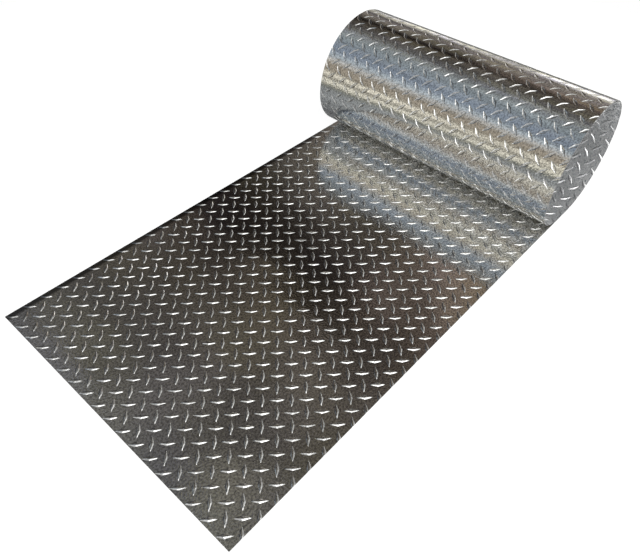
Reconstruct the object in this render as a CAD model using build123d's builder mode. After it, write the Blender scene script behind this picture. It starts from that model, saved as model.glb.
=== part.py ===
"""Aluminium tread sheet, partly rolled: a flat run on the floor whose far end
turns up, over and down into a loose roll of about a turn and a half.

The sheet is one closed solid. Its long section is a straight run and tangent
arcs, thickened to the sheet's gauge and extruded across the sheet's width.
Millimetres, +Z up, +X from the cut edge toward the roll, Y across the sheet.
"""
import os
from math import degrees, pi

from build123d import *

os.makedirs("parts", exist_ok=True)

# Stock sizes
SHEET_WIDTH = 609.6
SHEET_LENGTH = 2438.4
GAUGE = 1.0

# Length lying on the floor, from the cut edge to where the roll lifts off
FLAT_LENGTH = 1001.5

# Outer face of the first turn, a quarter turn each
RADIUS_FLOOR_TO_BACK = 131.0
RADIUS_BACK_TO_TOP = 130.0
RADIUS_TOP_TO_FRONT = 152.0

# Step from one turn's outer face to the next turn's outer face
TURN_STEP = 4.0

QUARTER = 90.0

# The last quarter of the first turn comes down to rest one step above the floor run
RADIUS_FRONT_TO_FLOOR = (
    RADIUS_FLOOR_TO_BACK + RADIUS_BACK_TO_TOP - RADIUS_TOP_TO_FRONT - TURN_STEP
)
FIRST_TURN = [
    RADIUS_FLOOR_TO_BACK,
    RADIUS_BACK_TO_TOP,
    RADIUS_TOP_TO_FRONT,
    RADIUS_FRONT_TO_FLOOR,
]

# The floor of the second turn runs back to where the first turn lifts off
INNER_FLOOR_LENGTH = (
    RADIUS_BACK_TO_TOP + RADIUS_TOP_TO_FRONT - RADIUS_FLOOR_TO_BACK - RADIUS_FRONT_TO_FLOOR
)

# The second turn nests inside the first, one step in, for as far as the stock lasts
SECOND_TURN = [radius - TURN_STEP for radius in FIRST_TURN[:2]]
LAST_RADIUS = RADIUS_TOP_TO_FRONT - TURN_STEP


def quarter_length(radius):
    """Length of a quarter turn along the middle of the sheet's thickness."""
    return pi / 2 * (radius - GAUGE / 2)


USED_LENGTH = (
    FLAT_LENGTH
    + INNER_FLOOR_LENGTH
    + sum(quarter_length(radius) for radius in FIRST_TURN + SECOND_TURN)
)
LAST_ANGLE = degrees((SHEET_LENGTH - USED_LENGTH) / (LAST_RADIUS - GAUGE / 2))

# The overall length centres the frame on the sheet's bounding box
OVERALL_LENGTH = FLAT_LENGTH + RADIUS_FLOOR_TO_BACK
START_X = -OVERALL_LENGTH / 2


def draw_face(inset):
    """Draws one face of the section, inset inward from the roll's outer face."""
    run = Line((START_X, inset), (START_X + FLAT_LENGTH, inset))
    start = run @ 0
    for radius in FIRST_TURN:
        run = JernArc(run @ 1, run % 1, radius - inset, QUARTER)
    run = Line(run @ 1, run @ 1 + Vector(INNER_FLOOR_LENGTH, 0))
    for radius in SECOND_TURN:
        run = JernArc(run @ 1, run % 1, radius - inset, QUARTER)
    run = JernArc(run @ 1, run % 1, LAST_RADIUS - inset, LAST_ANGLE)
    return start, run @ 1


# Sheet: both faces of the section joined at the cut edge and the inner edge, extruded across
with BuildPart() as checker_plate:
    with BuildSketch(Plane.XZ):
        with BuildLine():
            outer_start, outer_end = draw_face(0)
            inner_start, inner_end = draw_face(GAUGE)
            Line(outer_start, inner_start)
            Line(outer_end, inner_end)
        make_face()
    extrude(amount=SHEET_WIDTH / 2, both=True)
checker_plate.part.label = "checker_plate"
export_step(checker_plate.part, "parts/checker_plate.step")
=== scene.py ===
"""Looks for the partly rolled aluminium tread sheet.

The sheet is worked out flat, as whole arrays over its lugs, trimmed at its
four sheared edges and then carried along its long section: the floor run and
the tangent arcs of the roll. Metres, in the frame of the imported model.
"""

import bpy
import numpy as np
from mathutils import Matrix, Vector


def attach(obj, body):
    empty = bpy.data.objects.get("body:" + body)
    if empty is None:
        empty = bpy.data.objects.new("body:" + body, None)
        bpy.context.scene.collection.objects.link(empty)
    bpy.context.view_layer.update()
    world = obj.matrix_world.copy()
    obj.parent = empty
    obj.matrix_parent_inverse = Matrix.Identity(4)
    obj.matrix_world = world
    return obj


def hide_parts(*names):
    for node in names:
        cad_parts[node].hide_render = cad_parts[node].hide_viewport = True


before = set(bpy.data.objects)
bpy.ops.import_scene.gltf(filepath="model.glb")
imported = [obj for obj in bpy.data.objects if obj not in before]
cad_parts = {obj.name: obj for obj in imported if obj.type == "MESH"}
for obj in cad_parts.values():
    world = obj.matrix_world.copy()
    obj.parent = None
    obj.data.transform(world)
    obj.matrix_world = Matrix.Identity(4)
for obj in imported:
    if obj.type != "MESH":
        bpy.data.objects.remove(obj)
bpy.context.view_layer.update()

# Stock sizes, as in the part's source
SHEET_WIDTH = 0.6096
SHEET_LENGTH = 2.4384
GAUGE = 0.001
FLAT_LENGTH = 1.0015
FIRST_TURN = (0.131, 0.130, 0.152, 0.105)
INNER_FLOOR_LENGTH = 0.046
TURN_STEP = 0.004
CUT_EDGE_X = -(FLAT_LENGTH + FIRST_TURN[0]) / 2
NEAR_EDGE_Y = -SHEET_WIDTH / 2

# Tread: lugs stand at 45 degrees, alternately one way and the other
LUG_SPACING = 0.0341 / np.sqrt(2)
FIRST_LUG = (0.0264, 0.0034)
LUG_LENGTH = 0.0270
LUG_WIDTH = 0.0078
LUG_HEIGHT = 0.0011
HOLLOW_DEPTH = 0.0009
CROWN_LENGTH = 0.0200
CROWN_WIDTH = 0.0030
# A quarter of a lug's outline: its points as shares of the half length, and how straight it runs
OUTLINE_SHARES = (1, 0.82, 0.54, 0.14, 0)
STRAIGHTNESS = 0.85
# How far the sides of the mesh's cells bow round the lugs' tips, and the spare cells past the sheet
BORDER_SWING = 0.0050
SPARE_CELLS = 3
# Slopes of a lug's faces, and the share of them that the hollow underside has
FOOT_SLOPE = 0.80
SHOULDER_SLOPE = 0.55
CROWN_SLOPE = 0.15
HOLLOW_SLOPE = 0.80

# Where along the sheet the piece of the floor run ends and that of the first turn starts
PIECE_JOIN = FLAT_LENGTH + 0.02

# Finish. A noise has a size in waves to the metre along and across the sheet, and a detail
GRAIN = ((260, 260), 3)
SPECKLE = (0.35, 0.58)
SPECKLE_COLOURS = ((0.50, 0.50, 0.49), (1.0, 1.0, 0.99))
FLECKS = (0.35, 0.47)
FLECK_COLOURS = ((0.56, 0.59, 0.62), (1.0, 1.0, 1.0))
STREAKS = ((25, 300), 3)
STREAK_RANGE = (0.30, 0.70)
FACE_ROUGHNESS = (0.05, 0.11)
SCUFFED_ROUGHNESS = 0.17
DULL_ROUGHNESS = 0.28
PEEL = ((300, 300), 2)
PEEL_HEIGHT = 0.00016
DULL_PEEL_HEIGHT = 0.00055
WAVES = ((11, 7), 1)
WAVE_HEIGHT = 0.0010
# Painted shade along the far long edge: where it starts across the sheet, and where it fades along it
PAINTED_SHADE_EDGE = (SHEET_WIDTH - 0.015, SHEET_WIDTH - 0.009)
PAINTED_SHADE_EDGE_END = (FLAT_LENGTH - 0.20, FLAT_LENGTH - 0.08)
PAINTED_SHADE_EDGE_COLOUR = (0.22, 0.22, 0.22)
# Where along the sheet the scuffed stretch starts and ends, and where the inner face turns dull
SCUFF_START = (FLAT_LENGTH - 0.19, FLAT_LENGTH - 0.07)
SCUFF_END = (FLAT_LENGTH + 0.02, FLAT_LENGTH + 0.10)
DULL_START = (FLAT_LENGTH + 0.075, FLAT_LENGTH + 0.225)

# The camera's place, and its rightward, downward and forward directions
CAMERA_LENS = 33.868
CAMERA_SENSOR = 36
CAMERA_PLACE = (-0.71555, -0.58494, 0.85288)
CAMERA_AXES = (
    (0.67318, -0.73919, 0.02045),
    (-0.52402, -0.49637, -0.69211),
    (0.52176, 0.45520, -0.72150),
)

FLOOR_RADIUS = 1.6
FLOOR_CORNERS = 128
FLOOR_COLOUR = (0.30, 0.30, 0.30, 1)
FLOOR_ROUGHNESS = 0.9
FLOOR_GLOW = 0.90

# Light: linear colours by degrees round the roll, from the far horizon up over
# the zenith (90), down to the near horizon (180) and back below
AROUND_THE_ROLL = (
    (0, (0.95, 0.95, 0.90)),
    (9, (0.46, 0.455, 0.42)),
    (18, (0.25, 0.24, 0.22)),
    (28, (0.15, 0.137, 0.122)),
    (44, (0.13, 0.119, 0.103)),
    (47, (0.048, 0.044, 0.036)),
    (49.5, (0.034, 0.029, 0.025)),
    (52, (0.016, 0.013, 0.013)),
    (55, (0.010, 0.008, 0.008)),
    (57.5, (0.066, 0.057, 0.046)),
    (67, (0.086, 0.080, 0.071)),
    (76, (0.102, 0.099, 0.091)),
    (84, (0.190, 0.198, 0.200)),
    (103, (0.27, 0.31, 0.335)),
    (112, (0.215, 0.25, 0.285)),
    (116, (0.335, 0.38, 0.44)),
    (120, (0.21, 0.25, 0.31)),
    (129, (0.23, 0.27, 0.33)),
    (136, (0.46, 0.52, 0.56)),
    (140.5, (0.37, 0.385, 0.40)),
)
# Pale slats on the near side: the degrees of each, and its colour and that of the gap below it
SLATS = (
    (144.0, (0.66, 0.64, 0.60), (0.19, 0.165, 0.13)),
    (155.0, (0.50, 0.44, 0.36), (0.17, 0.15, 0.115)),
    (166.0, (0.98, 0.93, 0.79), (0.11, 0.10, 0.08)),
    (178.0, (0.98, 0.94, 0.80), (0.15, 0.15, 0.12)),
)
SLAT_DROP = 5.2
BELOW = (
    (192, (0.31, 0.325, 0.33)),
    (250, (0.15, 0.155, 0.16)),
    (356, (0.20, 0.20, 0.19)),
)
# Past LEAN_START degrees the bands lean with the direction's Y, and are level at LEVEL_Y
LEAN_START = 107.0
LEAN = 0.72
LEVEL_Y = 0.42
# Two stretches are kept no darker than a colour, and set in as Y falls and as the degrees fall
GAP = (0.138, 0.113, 0.090)
GAP_Y = (0.42, 0.33)
GAP_DEGREES = (57.5, 52.5)
GLOW = (0.95, 0.95, 0.95)
GLOW_Y = (0.36, 0.26)
GLOW_DEGREES = (22, 11)

# Clouds over the directions: scale, offset and detail
PATCHES = (11.0, 3.0, 5.0)
TINTS = (17.6, 7.0, 3.0)
CLOUD_ROUGHNESS = 0.65
PATCH_EDGES = (0.38, 0.62)
TINT_EDGES = (0.42, 0.58)
WARM_PATCH = (1.07, 1.03, 0.80)
COOL_PATCH = (0.97, 0.94, 1.12)
# Strength of the patches on the near side and on the far one, and where one gives way to the other
NEAR_STRENGTH = (0.75, 1.25)
FAR_STRENGTH = (0.40, 1.65)
FAR_DEGREES = (110, 75)
# The far side is a little brighter at lower Y
LIFT_Y = (0.48, 0.36)
LIFT = (1.0, 1.2)

# Light from the sides: each colour takes over as the direction's X, Y or Z goes from one number to the
# other, and NEAR_SIDE as X + NEAR_SHARE Y does
NEAR_SHARE = 0.8
NEARNESS = (0.0, -0.25)
FAR_SIDE = (0.42, 0.42, 0.41)
NEAR_SIDE = (0.80, 0.80, 0.79)
LOW_SIDE = (0.55, 0.55, 0.55)
LOW_Z = (0.25, -0.05)
BACK_SIDE = ((0.20, 0.20, 0.205), (0.44, 0.45, 0.47))
BACK_Y = (-0.40, -0.65)
BRIGHT_SIDE = (1.25, 1.25, 1.22)
BRIGHT_Y = (-0.18, -0.42)
BRIGHT_Z = (0.28, 0.50)
LEFT_SIDE = (0.50, 0.50, 0.50)
LEFT_X = (-0.50, -0.80)
SIDE_Y = (0.18, -0.04)
DIM_END = (0.060, 0.060, 0.062)
DIM_END_Y = (0.66, 0.82)

SOFTBOX_DIRECTION = (-0.33, -0.60, 0.73)
SOFTBOX_DISTANCE = 5.0
SOFTBOX_SIZE = (3.8, 4.0)
SOFTBOX_POWER = 51.0

# Light between the roll and the floor run is mirrored to and fro about this many times
GLOSSY_BOUNCES = 12

# First input, second input and output of a mix node, by the kind of what it mixes
MIX_SOCKETS = {"FLOAT": (2, 3, 0), "RGBA": (6, 7, 2)}


def lug_outline(length, width):
    """Sixteen points round a lug's outline, which lies along x, anticlockwise from its +x tip.

    At a share t of half the length, the outline stands off the lug's line by
    half the width times (1 - STRAIGHTNESS t - (1 - STRAIGHTNESS) t to the
    fourth), so it has a corner at the middle and blunt tips.
    """
    quarter = np.array(OUTLINE_SHARES)
    share = np.concatenate([quarter, -quarter[-2::-1]])
    x, t = share * length / 2, np.abs(share)
    y = width / 2 * (1 - STRAIGHTNESS * t - (1 - STRAIGHTNESS) * t**4)
    return np.concatenate([np.stack([x, y], 1)[:-1], np.stack([-x, -y], 1)[:-1]])


def outward(outline):
    """Unit vectors square to a lug's outline at its points and away from it, and along x at its tips.

    The outline's slope is the width over the length, times (STRAIGHTNESS + 4
    (1 - STRAIGHTNESS) t cubed), and nought at the middle's corner.
    """
    length, width = 2 * outline[:, 0].max(), 2 * outline[:, 1].max()
    share = 2 * outline[:, 0] / length
    slope = width / length * (STRAIGHTNESS + 4 * (1 - STRAIGHTNESS) * np.abs(share) ** 3)
    side = np.sign(np.round(outline[:, 1], 9))
    away = np.stack([np.sign(share) * np.where(side == 0, 1, slope), side], 1)
    return away / np.linalg.norm(away, axis=1, keepdims=True)


def quarter_turned(ring):
    """A ring of sixteen points or vectors turned a quarter turn, still starting on its +x side."""
    return np.roll(np.stack([-ring[:, 1], ring[:, 0]], 1), 4, axis=0)


def lug_rings(i, j):
    """The foot's and the crown's ring of every lug, in cells, and their outward vectors."""
    odd = ((i + j) % 2 == 1)[..., None, None]
    centre = np.stack([i, j], -1)[:, :, None, :]
    rings, aways = [], []
    for length, width in ((LUG_LENGTH, LUG_WIDTH), (CROWN_LENGTH, CROWN_WIDTH)):
        ring = lug_outline(length, width)
        away = outward(ring)
        rings.append(centre + np.where(odd, quarter_turned(ring), ring) / LUG_SPACING)
        aways.append(np.where(odd, quarter_turned(away), away) + 0 * centre)
    return rings, aways


def cell_borders(i, j):
    """The cells' corners, and three points on each side between cells along either direction, in cells.

    A side bows by BORDER_SWING times the squared cosine of pi times the place
    along it: out past the tips of its own lug, in where the neighbour's ends.
    """
    quarter = np.array([-0.25, 0, 0.25])
    bow = BORDER_SWING / LUG_SPACING * np.cos(np.pi * quarter) ** 2
    corner = np.stack([i - 0.5, j - 0.5], -1)
    swing = np.where((i[:, :-1] + j[:, :-1]) % 2 == 1, 1, -1)[..., None] * bow
    first = np.stack([i[:, :-1, None] - 0.5 + swing, j[:, :-1, None] + quarter + 0 * swing], -1)
    swing = np.where((i[:-1] + j[:-1]) % 2 == 1, -1, 1)[..., None] * bow
    second = np.stack([i[:-1, :, None] + quarter + 0 * swing, j[:-1, :, None] - 0.5 + swing], -1)
    return corner, first, second


def band(outer, inner):
    """Triangles between two rings of the same number of points, two for each step round."""
    a, b = np.roll(outer, -1, 1), np.roll(inner, -1, 1)
    return np.concatenate([np.stack([outer, a, inner], -1), np.stack([a, b, inner], -1)], 1)


def crown_strips(crown, odd):
    """Triangles that close each crown, in strips between the two arcs of its ring.

    The ring is taken from a tip, and the strip's first step has one triangle
    only, because both arcs start at that tip.
    """
    tipped = np.where(odd[:, None], np.roll(crown, -4, 1), crown)
    k, later = np.arange(1, 8), np.arange(2, 8)
    return [
        np.stack([tipped[:, later - 1], tipped[:, later], tipped[:, 17 - later]], -1),
        np.stack([tipped[:, k], tipped[:, 16 - k], tipped[:, (17 - k) % 16]], -1),
        np.stack([tipped[:, 7], tipped[:, 8], tipped[:, 9]], -1)[:, None],
    ]


def tread():
    """The whole tread, flat, as rows, triangles and the s of each triangle's lug.

    A row is (s, v, level, away s, away v). s runs along the sheet from its
    cut edge and v across it from its near edge. level is 0 on the sheet and 1
    on a lug's crown, and away points out from the lug. Each lug stands in a
    cell of a square grid turned by 45 degrees.
    """
    reach = int(np.ceil((SHEET_LENGTH + SHEET_WIDTH) / np.sqrt(2) / LUG_SPACING)) + SPARE_CELLS
    low, across = -SPARE_CELLS, reach // 3
    i, j = np.meshgrid(np.arange(low, reach), np.arange(-reach, across), indexing="ij")
    rings, aways = lug_rings(i, j)
    beyond = np.meshgrid(np.arange(low, reach + 1), np.arange(-reach, across + 1), indexing="ij")

    groups = [*cell_borders(*beyond), *rings]
    starts = np.cumsum([0] + [group[..., 0].size for group in groups])
    place = np.concatenate([group.reshape(-1, 2) for group in groups]) * LUG_SPACING
    level = np.zeros(len(place))
    level[starts[4]:] = 1
    away = np.zeros_like(place)
    away[starts[3]:starts[4]] = aways[0].reshape(-1, 2)
    away[starts[4]:] = aways[1].reshape(-1, 2)
    turn = np.array([[1, 1], [-1, 1]]) / np.sqrt(2)
    rows = np.column_stack([place @ turn + FIRST_LUG, level, away @ turn])

    number = [np.arange(a, b).reshape(g.shape[:-1]) for a, b, g in zip(starts, starts[1:], groups)]
    c, f, s, foot, crown = number
    # Sixteen points round each cell, anticlockwise from the middle of its +x side
    border = np.stack(
        [
            f[1:, :, 1], f[1:, :, 2], c[1:, 1:], s[:, 1:, 2], s[:, 1:, 1], s[:, 1:, 0],
            c[:-1, 1:], f[:-1, :, 2], f[:-1, :, 1], f[:-1, :, 0], c[:-1, :-1],
            s[:, :-1, 0], s[:, :-1, 1], s[:, :-1, 2], c[1:, :-1], f[1:, :, 0],
        ],
        -1,
    )
    middle = rows[foot].mean(2)[..., :2]
    size = np.array([SHEET_LENGTH, SHEET_WIDTH])
    wanted = ((middle > -LUG_SPACING) & (middle < size + LUG_SPACING)).all(-1)
    border, foot, crown, odd = border[wanted], foot[wanted], crown[wanted], ((i + j) % 2 == 1)[wanted]
    faces = np.concatenate([band(border, foot), band(foot, crown), *crown_strips(crown, odd)], 1)
    lug = np.repeat(middle[wanted][:, 0], faces.shape[1])
    return rows, faces.reshape(-1, 3), lug


def trimmed(rows, faces, lug, column, limit, side):
    """The triangles cut along the line where a column of rows equals the limit.

    What lies past the line, where side times (value - limit) is positive, is
    dropped. A triangle with one corner left becomes one triangle, and one
    with two corners left becomes two. Every new row is worked out once for
    the edge it is on, in proportion along it.
    """
    past = side * (rows[:, column] - limit)
    left = past < 0
    count = left[faces].sum(1)

    def turned(which, odd_one_out):
        start = (left[faces[which]] == odd_one_out).argmax(1)
        return np.take_along_axis(faces[which], (start[:, None] + np.arange(3)) % 3, 1)

    one, two = turned(count == 1, True), turned(count == 2, False)
    ends = np.concatenate([one[:, [0, 1]], one[:, [0, 2]], two[:, [0, 1]], two[:, [0, 2]]])
    edges, which = np.unique(np.sort(ends, 1), axis=0, return_inverse=True)
    a, b = edges.T
    share = (past[a] / (past[a] - past[b]))[:, None]
    fresh = rows[a] + share * (rows[b] - rows[a])
    fresh[:, column] = limit
    n, m = len(one), len(two)
    one_b, one_c, two_b, two_c = np.split(which.ravel() + len(rows), [n, 2 * n, 2 * n + m])
    faces = np.concatenate(
        [
            faces[count == 3],
            np.stack([one[:, 0], one_b, one_c], 1),
            np.stack([two_b, two[:, 1], two[:, 2]], 1),
            np.stack([two_b, two[:, 2], two_c], 1),
        ]
    )
    lug = np.concatenate([lug[count == 3], lug[count == 1], lug[count == 2], lug[count == 2]])
    return np.concatenate([rows, fresh]), faces, lug


def section():
    """The sheet's long section as rows of (start s, x, z, heading, bend) along its mid-thickness.

    Each row holds until the next one's s. The heading is in radians above +x
    and the bend is one over the radius, or 0 on a straight.
    """
    turns = list(FIRST_TURN) + [None] + [radius - TURN_STEP for radius in FIRST_TURN[:3]]
    s, x, z, heading = 0.0, CUT_EDGE_X, GAUGE / 2, 0.0
    rows = [(s, x, z, heading, 0.0)]
    s, x = s + FLAT_LENGTH, x + FLAT_LENGTH
    for outer in turns:
        if outer is None:
            rows.append((s, x, z, heading, 0.0))
            s, x = s + INNER_FLOOR_LENGTH, x + INNER_FLOOR_LENGTH
            continue
        radius = outer - GAUGE / 2
        rows.append((s, x, z, heading, 1 / radius))
        onward = heading + np.pi / 2
        x += radius * (np.sin(onward) - np.sin(heading))
        z -= radius * (np.cos(onward) - np.cos(heading))
        s, heading = s + radius * np.pi / 2, onward
    return np.array(rows)


def carried(s, v, height, slope_s, slope_v, side):
    """Points and normals of the sheet carried along its section.

    A point is the section's point at s, raised by height along the section's
    own upward direction (-sin heading, cos heading) and set at v across the
    sheet. A normal is that direction less the slopes, and reversed on the
    underside, where side is -1.
    """
    path = section()
    which = (np.searchsorted(path[:, 0], s, side="right") - 1).clip(0)
    start, x, z, heading, bend = path[which].T
    now = heading + bend * (s - start)
    safe = np.where(bend == 0, 1, bend)
    x = x + np.where(bend == 0, s - start, (np.sin(now) - np.sin(heading)) / safe)
    z = z - np.where(bend == 0, 0, (np.cos(now) - np.cos(heading)) / safe)
    up = np.stack([-np.sin(now), 0 * now, np.cos(now)], 1)
    along = np.stack([np.cos(now), 0 * now, np.sin(now)], 1)
    across = np.array([0.0, 1.0, 0.0])
    point = np.stack([x, NEAR_EDGE_Y + v, z], 1) + up * height[:, None]
    normal = (up - along * slope_s[:, None] - across * slope_v[:, None]) * side
    return point, normal / np.linalg.norm(normal, axis=1, keepdims=True)


def lug_slopes(level, away, faces):
    """Slopes along and across the sheet at each triangle's corners.

    There is none on the sheet. A flank goes from FOOT_SLOPE to SHOULDER_SLOPE
    with its level, and a crown has CROWN_SLOPE, all of them falling away from
    the lug.
    """
    highest, lowest = level[faces].max(1)[:, None], level[faces].min(1)[:, None]
    steep = np.where(highest > 0, FOOT_SLOPE + (SHOULDER_SLOPE - FOOT_SLOPE) * level[faces], 0)
    steep = np.where(lowest == 1, CROWN_SLOPE, steep).ravel()
    return -steep * away[:, faces.ravel()]


def edge_walls(faces, count):
    """Quads from the upper face to the underside at every edge that has a triangle on one side only."""
    edges = np.concatenate([faces[:, [0, 1]], faces[:, [1, 2]], faces[:, [2, 0]]])
    key, back = edges[:, 0] * count + edges[:, 1], edges[:, 1] * count + edges[:, 0]
    a, b = edges[~np.isin(key, back)].T
    return np.stack([b, a, a + count, b + count], 1)


def shaded_mesh(name, points, corners, sizes, normals):
    """A mesh from its points and, face after face, the corners with their normals.

    No face may use a point twice, because setting the normals of such a face
    can crash Blender.
    """
    mesh = bpy.data.meshes.new(name)
    mesh.vertices.add(len(points))
    mesh.vertices.foreach_set("co", points.astype(np.float32).ravel())
    mesh.loops.add(len(corners))
    mesh.loops.foreach_set("vertex_index", corners.astype(np.int32))
    mesh.polygons.add(len(sizes))
    mesh.polygons.foreach_set("loop_start", (np.cumsum(sizes) - sizes).astype(np.int32))
    mesh.update(calc_edges=True)
    mesh.polygons.foreach_set("use_smooth", np.ones(len(sizes), bool))
    mesh.normals_split_custom_set(normals.astype(np.float32))
    mesh.validate()
    return mesh


def closed_sheet(name, rows, faces):
    """A closed mesh of the embossed sheet from its flat triangles.

    The upper face stands half the gauge above the middle, plus LUG_HEIGHT
    times the level. The underside stands half the gauge below, plus
    HOLLOW_DEPTH times the level, so each lug is hollow behind. The place on
    the sheet and the dullness of the inner face are kept as attributes.
    """
    used, faces = np.unique(faces, return_inverse=True)
    faces = faces.reshape(-1, 3)
    s, v, level, *away = rows[used].T
    count, flat = len(used), faces.ravel()
    top, _ = carried(s, v, GAUGE / 2 + LUG_HEIGHT * level, 0 * s, 0 * s, 1)
    under, _ = carried(s, v, -GAUGE / 2 + HOLLOW_DEPTH * level, 0 * s, 0 * s, 1)
    points = np.concatenate([top, under])

    slopes = lug_slopes(level, np.array(away), faces)
    _, top_normal = carried(s[flat], v[flat], 0 * s[flat], *slopes, 1)
    _, under_normal = carried(s[flat], v[flat], 0 * s[flat], *(HOLLOW_SLOPE * slopes), -1)
    under_normal = under_normal.reshape(-1, 3, 3)[:, ::-1].reshape(-1, 3)
    wall = edge_walls(faces, count)
    wall_normal = np.cross(points[wall[:, 1]] - points[wall[:, 0]], points[wall[:, 3]] - points[wall[:, 0]])
    wall_normal /= np.linalg.norm(wall_normal, axis=1, keepdims=True)

    corners = np.concatenate([flat, (faces[:, ::-1] + count).ravel(), wall.ravel()])
    sizes = np.concatenate([np.full(2 * len(faces), 3), np.full(len(wall), 4)])
    normals = np.concatenate([top_normal, under_normal, np.repeat(wall_normal, 4, 0)])
    mesh = shaded_mesh(name, points, corners, sizes, normals)
    place = np.tile(np.stack([s, v, level], 1), (2, 1))
    mesh.attributes.new("sheet_place", "FLOAT_VECTOR", "POINT")
    mesh.attributes["sheet_place"].data.foreach_set("vector", place.astype(np.float32).ravel())
    dull = np.concatenate([np.interp(s, DULL_START, (0, 1)), 0 * s])
    mesh.attributes.new("dull", "FLOAT", "POINT")
    mesh.attributes["dull"].data.foreach_set("value", dull.astype(np.float32))
    return mesh


def added(tree, kind, inputs, **settings):
    """A new node with its settings made, and its inputs set to values or linked to sockets."""
    node = tree.nodes.new(kind)
    for name, value in settings.items():
        setattr(node, name, value)
    for name, value in inputs.items():
        if isinstance(value, bpy.types.NodeSocket):
            tree.links.new(value, node.inputs[name])
        else:
            node.inputs[name].default_value = value
    return node


def worked(tree, operation, *values):
    """One sum of numbers or sockets."""
    return added(tree, "ShaderNodeMath", dict(enumerate(values)), operation=operation).outputs["Value"]


def scaled(tree, colour, strength):
    """A colour times a strength."""
    inputs = {0: colour, "Scale": strength}
    return added(tree, "ShaderNodeVectorMath", inputs, operation="SCALE").outputs[0]


def ranged(tree, value, limits, results=(0.0, 1.0), kind="LINEAR"):
    """The first result to the second as the value goes from one limit to the other, and no further."""
    (start, end), (low, high) = limits, results
    inputs = {"Value": value, "From Min": start, "From Max": end, "To Min": low, "To Max": high}
    return added(tree, "ShaderNodeMapRange", inputs, interpolation_type=kind).outputs["Result"]


def mixed(tree, factor, first, second, kind="RGBA", blend="MIX"):
    """Two numbers or colours mixed, each a value or a socket."""
    a, b, result = MIX_SOCKETS[kind]
    first, second = ((*value, 1) if isinstance(value, tuple) else value for value in (first, second))
    inputs = {"Factor": factor, a: first, b: second}
    return added(tree, "ShaderNodeMix", inputs, data_type=kind, blend_type=blend).outputs[result]


def noise(tree, place, detail, stretch=(1, 1, 1), offset=0.0, scale=1.0, roughness=0.5):
    """Noise from 0 to 1 over a place, which is stretched and moved first."""
    moved = {"Vector": place, "Location": (offset, offset, offset), "Scale": stretch}
    vector = added(tree, "ShaderNodeMapping", moved).outputs["Vector"]
    inputs = {"Vector": vector, "Scale": scale, "Detail": detail, "Roughness": roughness}
    return added(tree, "ShaderNodeTexNoise", inputs).outputs["Fac"]


def bright_aluminium():
    """Bright rolled aluminium, over the place on the flat sheet.

    It is near-mirror, with a fine speckle, rolled streaks and a slight wave.
    It is scuffed next to the roll, and dull with dark flecks inside it. The
    floor run's far long edge is darkened with painted shade.
    """
    material = bpy.data.materials.new("bright_aluminium")
    material.use_nodes = True
    tree = material.node_tree
    tree.nodes.clear()
    place = added(tree, "ShaderNodeAttribute", {}, attribute_name="sheet_place").outputs["Vector"]
    dull = added(tree, "ShaderNodeAttribute", {}, attribute_name="dull").outputs["Fac"]
    parts = added(tree, "ShaderNodeSeparateXYZ", {"Vector": place}).outputs
    along, across = parts["X"], parts["Y"]

    def over_sheet(size, detail):
        return noise(tree, place, detail, stretch=(*size, 1))

    grain = over_sheet(*GRAIN)
    speckled = mixed(tree, ranged(tree, grain, SPECKLE), *SPECKLE_COLOURS)
    flecked = mixed(tree, ranged(tree, grain, FLECKS), *FLECK_COLOURS)
    # Painted shade: the metal's colour is darkened along the far long edge, fading out towards the roll
    dark = worked(
        tree, "MULTIPLY", ranged(tree, across, PAINTED_SHADE_EDGE), ranged(tree, along, PAINTED_SHADE_EDGE_END, (1.0, 0.0))
    )
    colour = mixed(tree, dark, mixed(tree, dull, speckled, flecked), PAINTED_SHADE_EDGE_COLOUR)

    streaks = ranged(tree, over_sheet(*STREAKS), STREAK_RANGE, FACE_ROUGHNESS)
    scuffed = worked(
        tree, "MULTIPLY", ranged(tree, along, SCUFF_START), ranged(tree, along, SCUFF_END, (1.0, 0.0))
    )
    roughness = mixed(tree, scuffed, streaks, SCUFFED_ROUGHNESS, "FLOAT")
    roughness = mixed(tree, dull, roughness, DULL_ROUGHNESS, "FLOAT")

    peel_height = mixed(tree, dull, PEEL_HEIGHT, DULL_PEEL_HEIGHT, "FLOAT")
    inputs = {"Strength": 1.0, "Distance": peel_height, "Height": over_sheet(*PEEL)}
    peel = added(tree, "ShaderNodeBump", inputs).outputs["Normal"]
    inputs = {"Strength": 1.0, "Distance": WAVE_HEIGHT, "Height": over_sheet(*WAVES), "Normal": peel}
    wave = added(tree, "ShaderNodeBump", inputs).outputs["Normal"]
    inputs = {"Metallic": 1.0, "Base Color": colour, "Roughness": roughness, "Normal": wave}
    metal = added(tree, "ShaderNodeBsdfPrincipled", inputs).outputs["BSDF"]
    added(tree, "ShaderNodeOutputMaterial", {"Surface": metal})
    return material


def build_sheet():
    """The sheet as three pieces, the floor run and the two turns, parted along the cells' borders."""
    rows, faces, lug = tread()
    for column, limit, side in ((0, 0, -1), (0, SHEET_LENGTH, 1), (1, 0, -1), (1, SHEET_WIDTH, 1)):
        rows, faces, lug = trimmed(rows, faces, lug, column, limit, side)
    finish = bright_aluminium()
    # The second turn starts after the flat run, the first turn's arcs and the inner floor
    second_start = section()[len(FIRST_TURN) + 2, 0]
    spans = (
        ("floor_run", -np.inf, PIECE_JOIN),
        ("first_turn", PIECE_JOIN, second_start),
        ("second_turn", second_start, np.inf),
    )
    for name, low, high in spans:
        mesh = closed_sheet(name, rows, faces[(lug > low) & (lug <= high)])
        mesh.materials.append(finish)
        piece = bpy.data.objects.new(name, mesh)
        bpy.context.scene.collection.objects.link(piece)
        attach(piece, "root")
        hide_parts("checker_plate")


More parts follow.
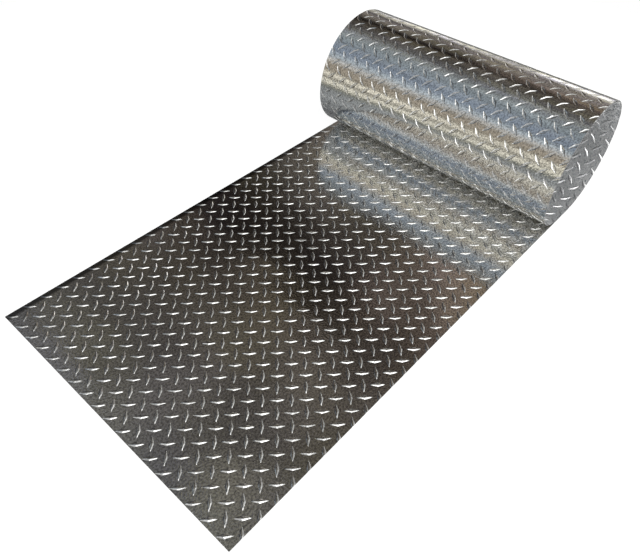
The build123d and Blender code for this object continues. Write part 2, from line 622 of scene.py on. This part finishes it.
def build_floor():
    """A plain pale round floor with its top at z = 0. The metal doesn't mirror it."""
    turn = np.linspace(0, 2 * np.pi, FLOOR_CORNERS, endpoint=False)
    rim = np.stack([FLOOR_RADIUS * np.cos(turn), FLOOR_RADIUS * np.sin(turn), 0 * turn], 1)
    mesh = bpy.data.meshes.new("floor")
    mesh.from_pydata(rim.tolist(), [], [list(range(FLOOR_CORNERS))])
    material = bpy.data.materials.new("pale_floor")
    material.use_nodes = True
    shader = material.node_tree.nodes["Principled BSDF"]
    shader.inputs["Base Color"].default_value = FLOOR_COLOUR
    shader.inputs["Roughness"].default_value = FLOOR_ROUGHNESS
    shader.inputs["Specular IOR Level"].default_value = 0.0
    shader.inputs["Emission Color"].default_value = (1, 1, 1, 1)
    shader.inputs["Emission Strength"].default_value = FLOOR_GLOW
    mesh.materials.append(material)
    floor = bpy.data.objects.new("floor", mesh)
    bpy.context.scene.collection.objects.link(floor)
    floor.visible_glossy = False


def banded(tree, turn):
    """The colours round the roll at an angle in radians, as one ramp over the whole turn."""
    slats = [stop for at, light, shade in SLATS for stop in ((at, light), (at + SLAT_DROP, shade))]
    stops = (*AROUND_THE_ROLL, *slats, *BELOW)
    ramp = added(tree, "ShaderNodeValToRGB", {"Fac": worked(tree, "DIVIDE", turn, 2 * np.pi)})
    elements = ramp.color_ramp.elements
    while len(elements) < len(stops):
        elements.new(0.5)
    for element, (degrees, colour) in zip(elements, stops):
        element.position = degrees / 360
        element.color = (*colour, 1)
    return ramp.outputs["Color"]


def build_surroundings():
    """Soft light from all round, worked out from the direction alone, and a plain white backdrop.

    The angle round the roll is that of the direction's Z over its X. Past
    LEAN_START it is lessened by LEAN times (Y - LEVEL_Y) times the degrees
    past it, so the slats lean. The bands' colours are lightened at the gap
    and at the glow, broken by soft patches, and tinted on the far side. At
    low Y the light from the sides takes over, and the +Y end is dim.
    """
    world = bpy.data.worlds.new("studio")
    bpy.context.scene.world = world
    world.use_nodes = True
    tree = world.node_tree
    tree.nodes.clear()
    direction = added(tree, "ShaderNodeTexCoord", {}).outputs["Generated"]
    parts = added(tree, "ShaderNodeSeparateXYZ", {"Vector": direction}).outputs
    x, y, z = parts["X"], parts["Y"], parts["Z"]

    def eased(value, limits, results=(0.0, 1.0)):
        return ranged(tree, value, limits, results, "SMOOTHSTEP")

    def cloud(scale, offset, detail):
        return noise(tree, direction, detail, offset=offset, scale=scale, roughness=CLOUD_ROUGHNESS)

    turn = worked(tree, "FLOORED_MODULO", worked(tree, "ARCTAN2", z, x), 2 * np.pi)
    past = worked(tree, "MAXIMUM", worked(tree, "SUBTRACT", turn, np.radians(LEAN_START)), 0.0)
    lean = worked(tree, "MULTIPLY", worked(tree, "SUBTRACT", y, LEVEL_Y), LEAN)
    turn = worked(tree, "SUBTRACT", turn, worked(tree, "MULTIPLY", past, lean))
    around = banded(tree, turn)
    for colour, over, degrees in ((GAP, GAP_Y, GAP_DEGREES), (GLOW, GLOW_Y, GLOW_DEGREES)):
        share = worked(tree, "MULTIPLY", eased(y, over), eased(turn, np.radians(degrees)))
        around = mixed(tree, share, around, colour, blend="LIGHTEN")

    patch = cloud(*PATCHES)
    tint = mixed(tree, eased(cloud(*TINTS), TINT_EDGES), WARM_PATCH, COOL_PATCH)
    strength = worked(tree, "MULTIPLY", eased(patch, PATCH_EDGES, FAR_STRENGTH), eased(y, LIFT_Y, LIFT))
    far = mixed(tree, 1.0, scaled(tree, around, strength), tint, blend="MULTIPLY")
    near = scaled(tree, around, eased(patch, PATCH_EDGES, NEAR_STRENGTH))
    colour = mixed(tree, eased(turn, np.radians(FAR_DEGREES)), near, far)

    nearness = worked(tree, "ADD", x, worked(tree, "MULTIPLY", y, NEAR_SHARE))
    side = mixed(tree, eased(nearness, NEARNESS), FAR_SIDE, NEAR_SIDE)
    side = mixed(tree, eased(z, LOW_Z), side, LOW_SIDE)
    side = mixed(tree, eased(y, BACK_Y), side, mixed(tree, eased(patch, PATCH_EDGES), *BACK_SIDE))
    high = worked(tree, "MULTIPLY", eased(y, BRIGHT_Y), eased(z, BRIGHT_Z))
    side = mixed(tree, high, side, BRIGHT_SIDE)
    side = mixed(tree, eased(x, LEFT_X), side, LEFT_SIDE)
    colour = mixed(tree, eased(y, SIDE_Y), colour, side)
    colour = mixed(tree, eased(y, DIM_END_Y), colour, DIM_END)

    light = added(tree, "ShaderNodeBackground", {"Color": colour}).outputs["Background"]
    backdrop = added(tree, "ShaderNodeBackground", {"Color": (1, 1, 1, 1)}).outputs["Background"]
    seen = added(tree, "ShaderNodeLightPath", {}).outputs["Is Camera Ray"]
    either = added(tree, "ShaderNodeMixShader", {"Fac": seen, 1: light, 2: backdrop}).outputs["Shader"]
    added(tree, "ShaderNodeOutputWorld", {"Surface": either})


def build_softbox():
    """One large soft light, high on the near side."""
    data = bpy.data.lights.new("softbox", "AREA")
    data.shape = "RECTANGLE"
    data.size, data.size_y = SOFTBOX_SIZE
    data.energy = SOFTBOX_POWER
    softbox = bpy.data.objects.new("softbox", data)
    toward = Vector(SOFTBOX_DIRECTION).normalized()
    turn = toward.to_track_quat("Z", "Y").to_matrix().to_4x4()
    softbox.matrix_world = Matrix.Translation(toward * SOFTBOX_DISTANCE) @ turn
    softbox.visible_camera = False
    bpy.context.scene.collection.objects.link(softbox)


def build_camera():
    """The camera stands in front of the cut edge and looks down along the sheet at the roll."""
    data = bpy.data.cameras.new("camera")
    data.sensor_fit = "HORIZONTAL"
    data.sensor_width = CAMERA_SENSOR
    data.lens = CAMERA_LENS
    right, down, ahead = (Vector(axis) for axis in CAMERA_AXES)
    camera = bpy.data.objects.new("camera", data)
    turn = Matrix((right, -down, -ahead)).transposed()
    camera.matrix_world = Matrix.Translation(CAMERA_PLACE) @ turn.to_4x4()
    bpy.context.scene.collection.objects.link(camera)
    bpy.context.scene.camera = camera


build_sheet()
build_floor()
build_surroundings()
build_softbox()
build_camera()
bpy.context.scene.view_settings.view_transform = "Standard"
bpy.context.scene.cycles.glossy_bounces = GLOSSY_BOUNCES
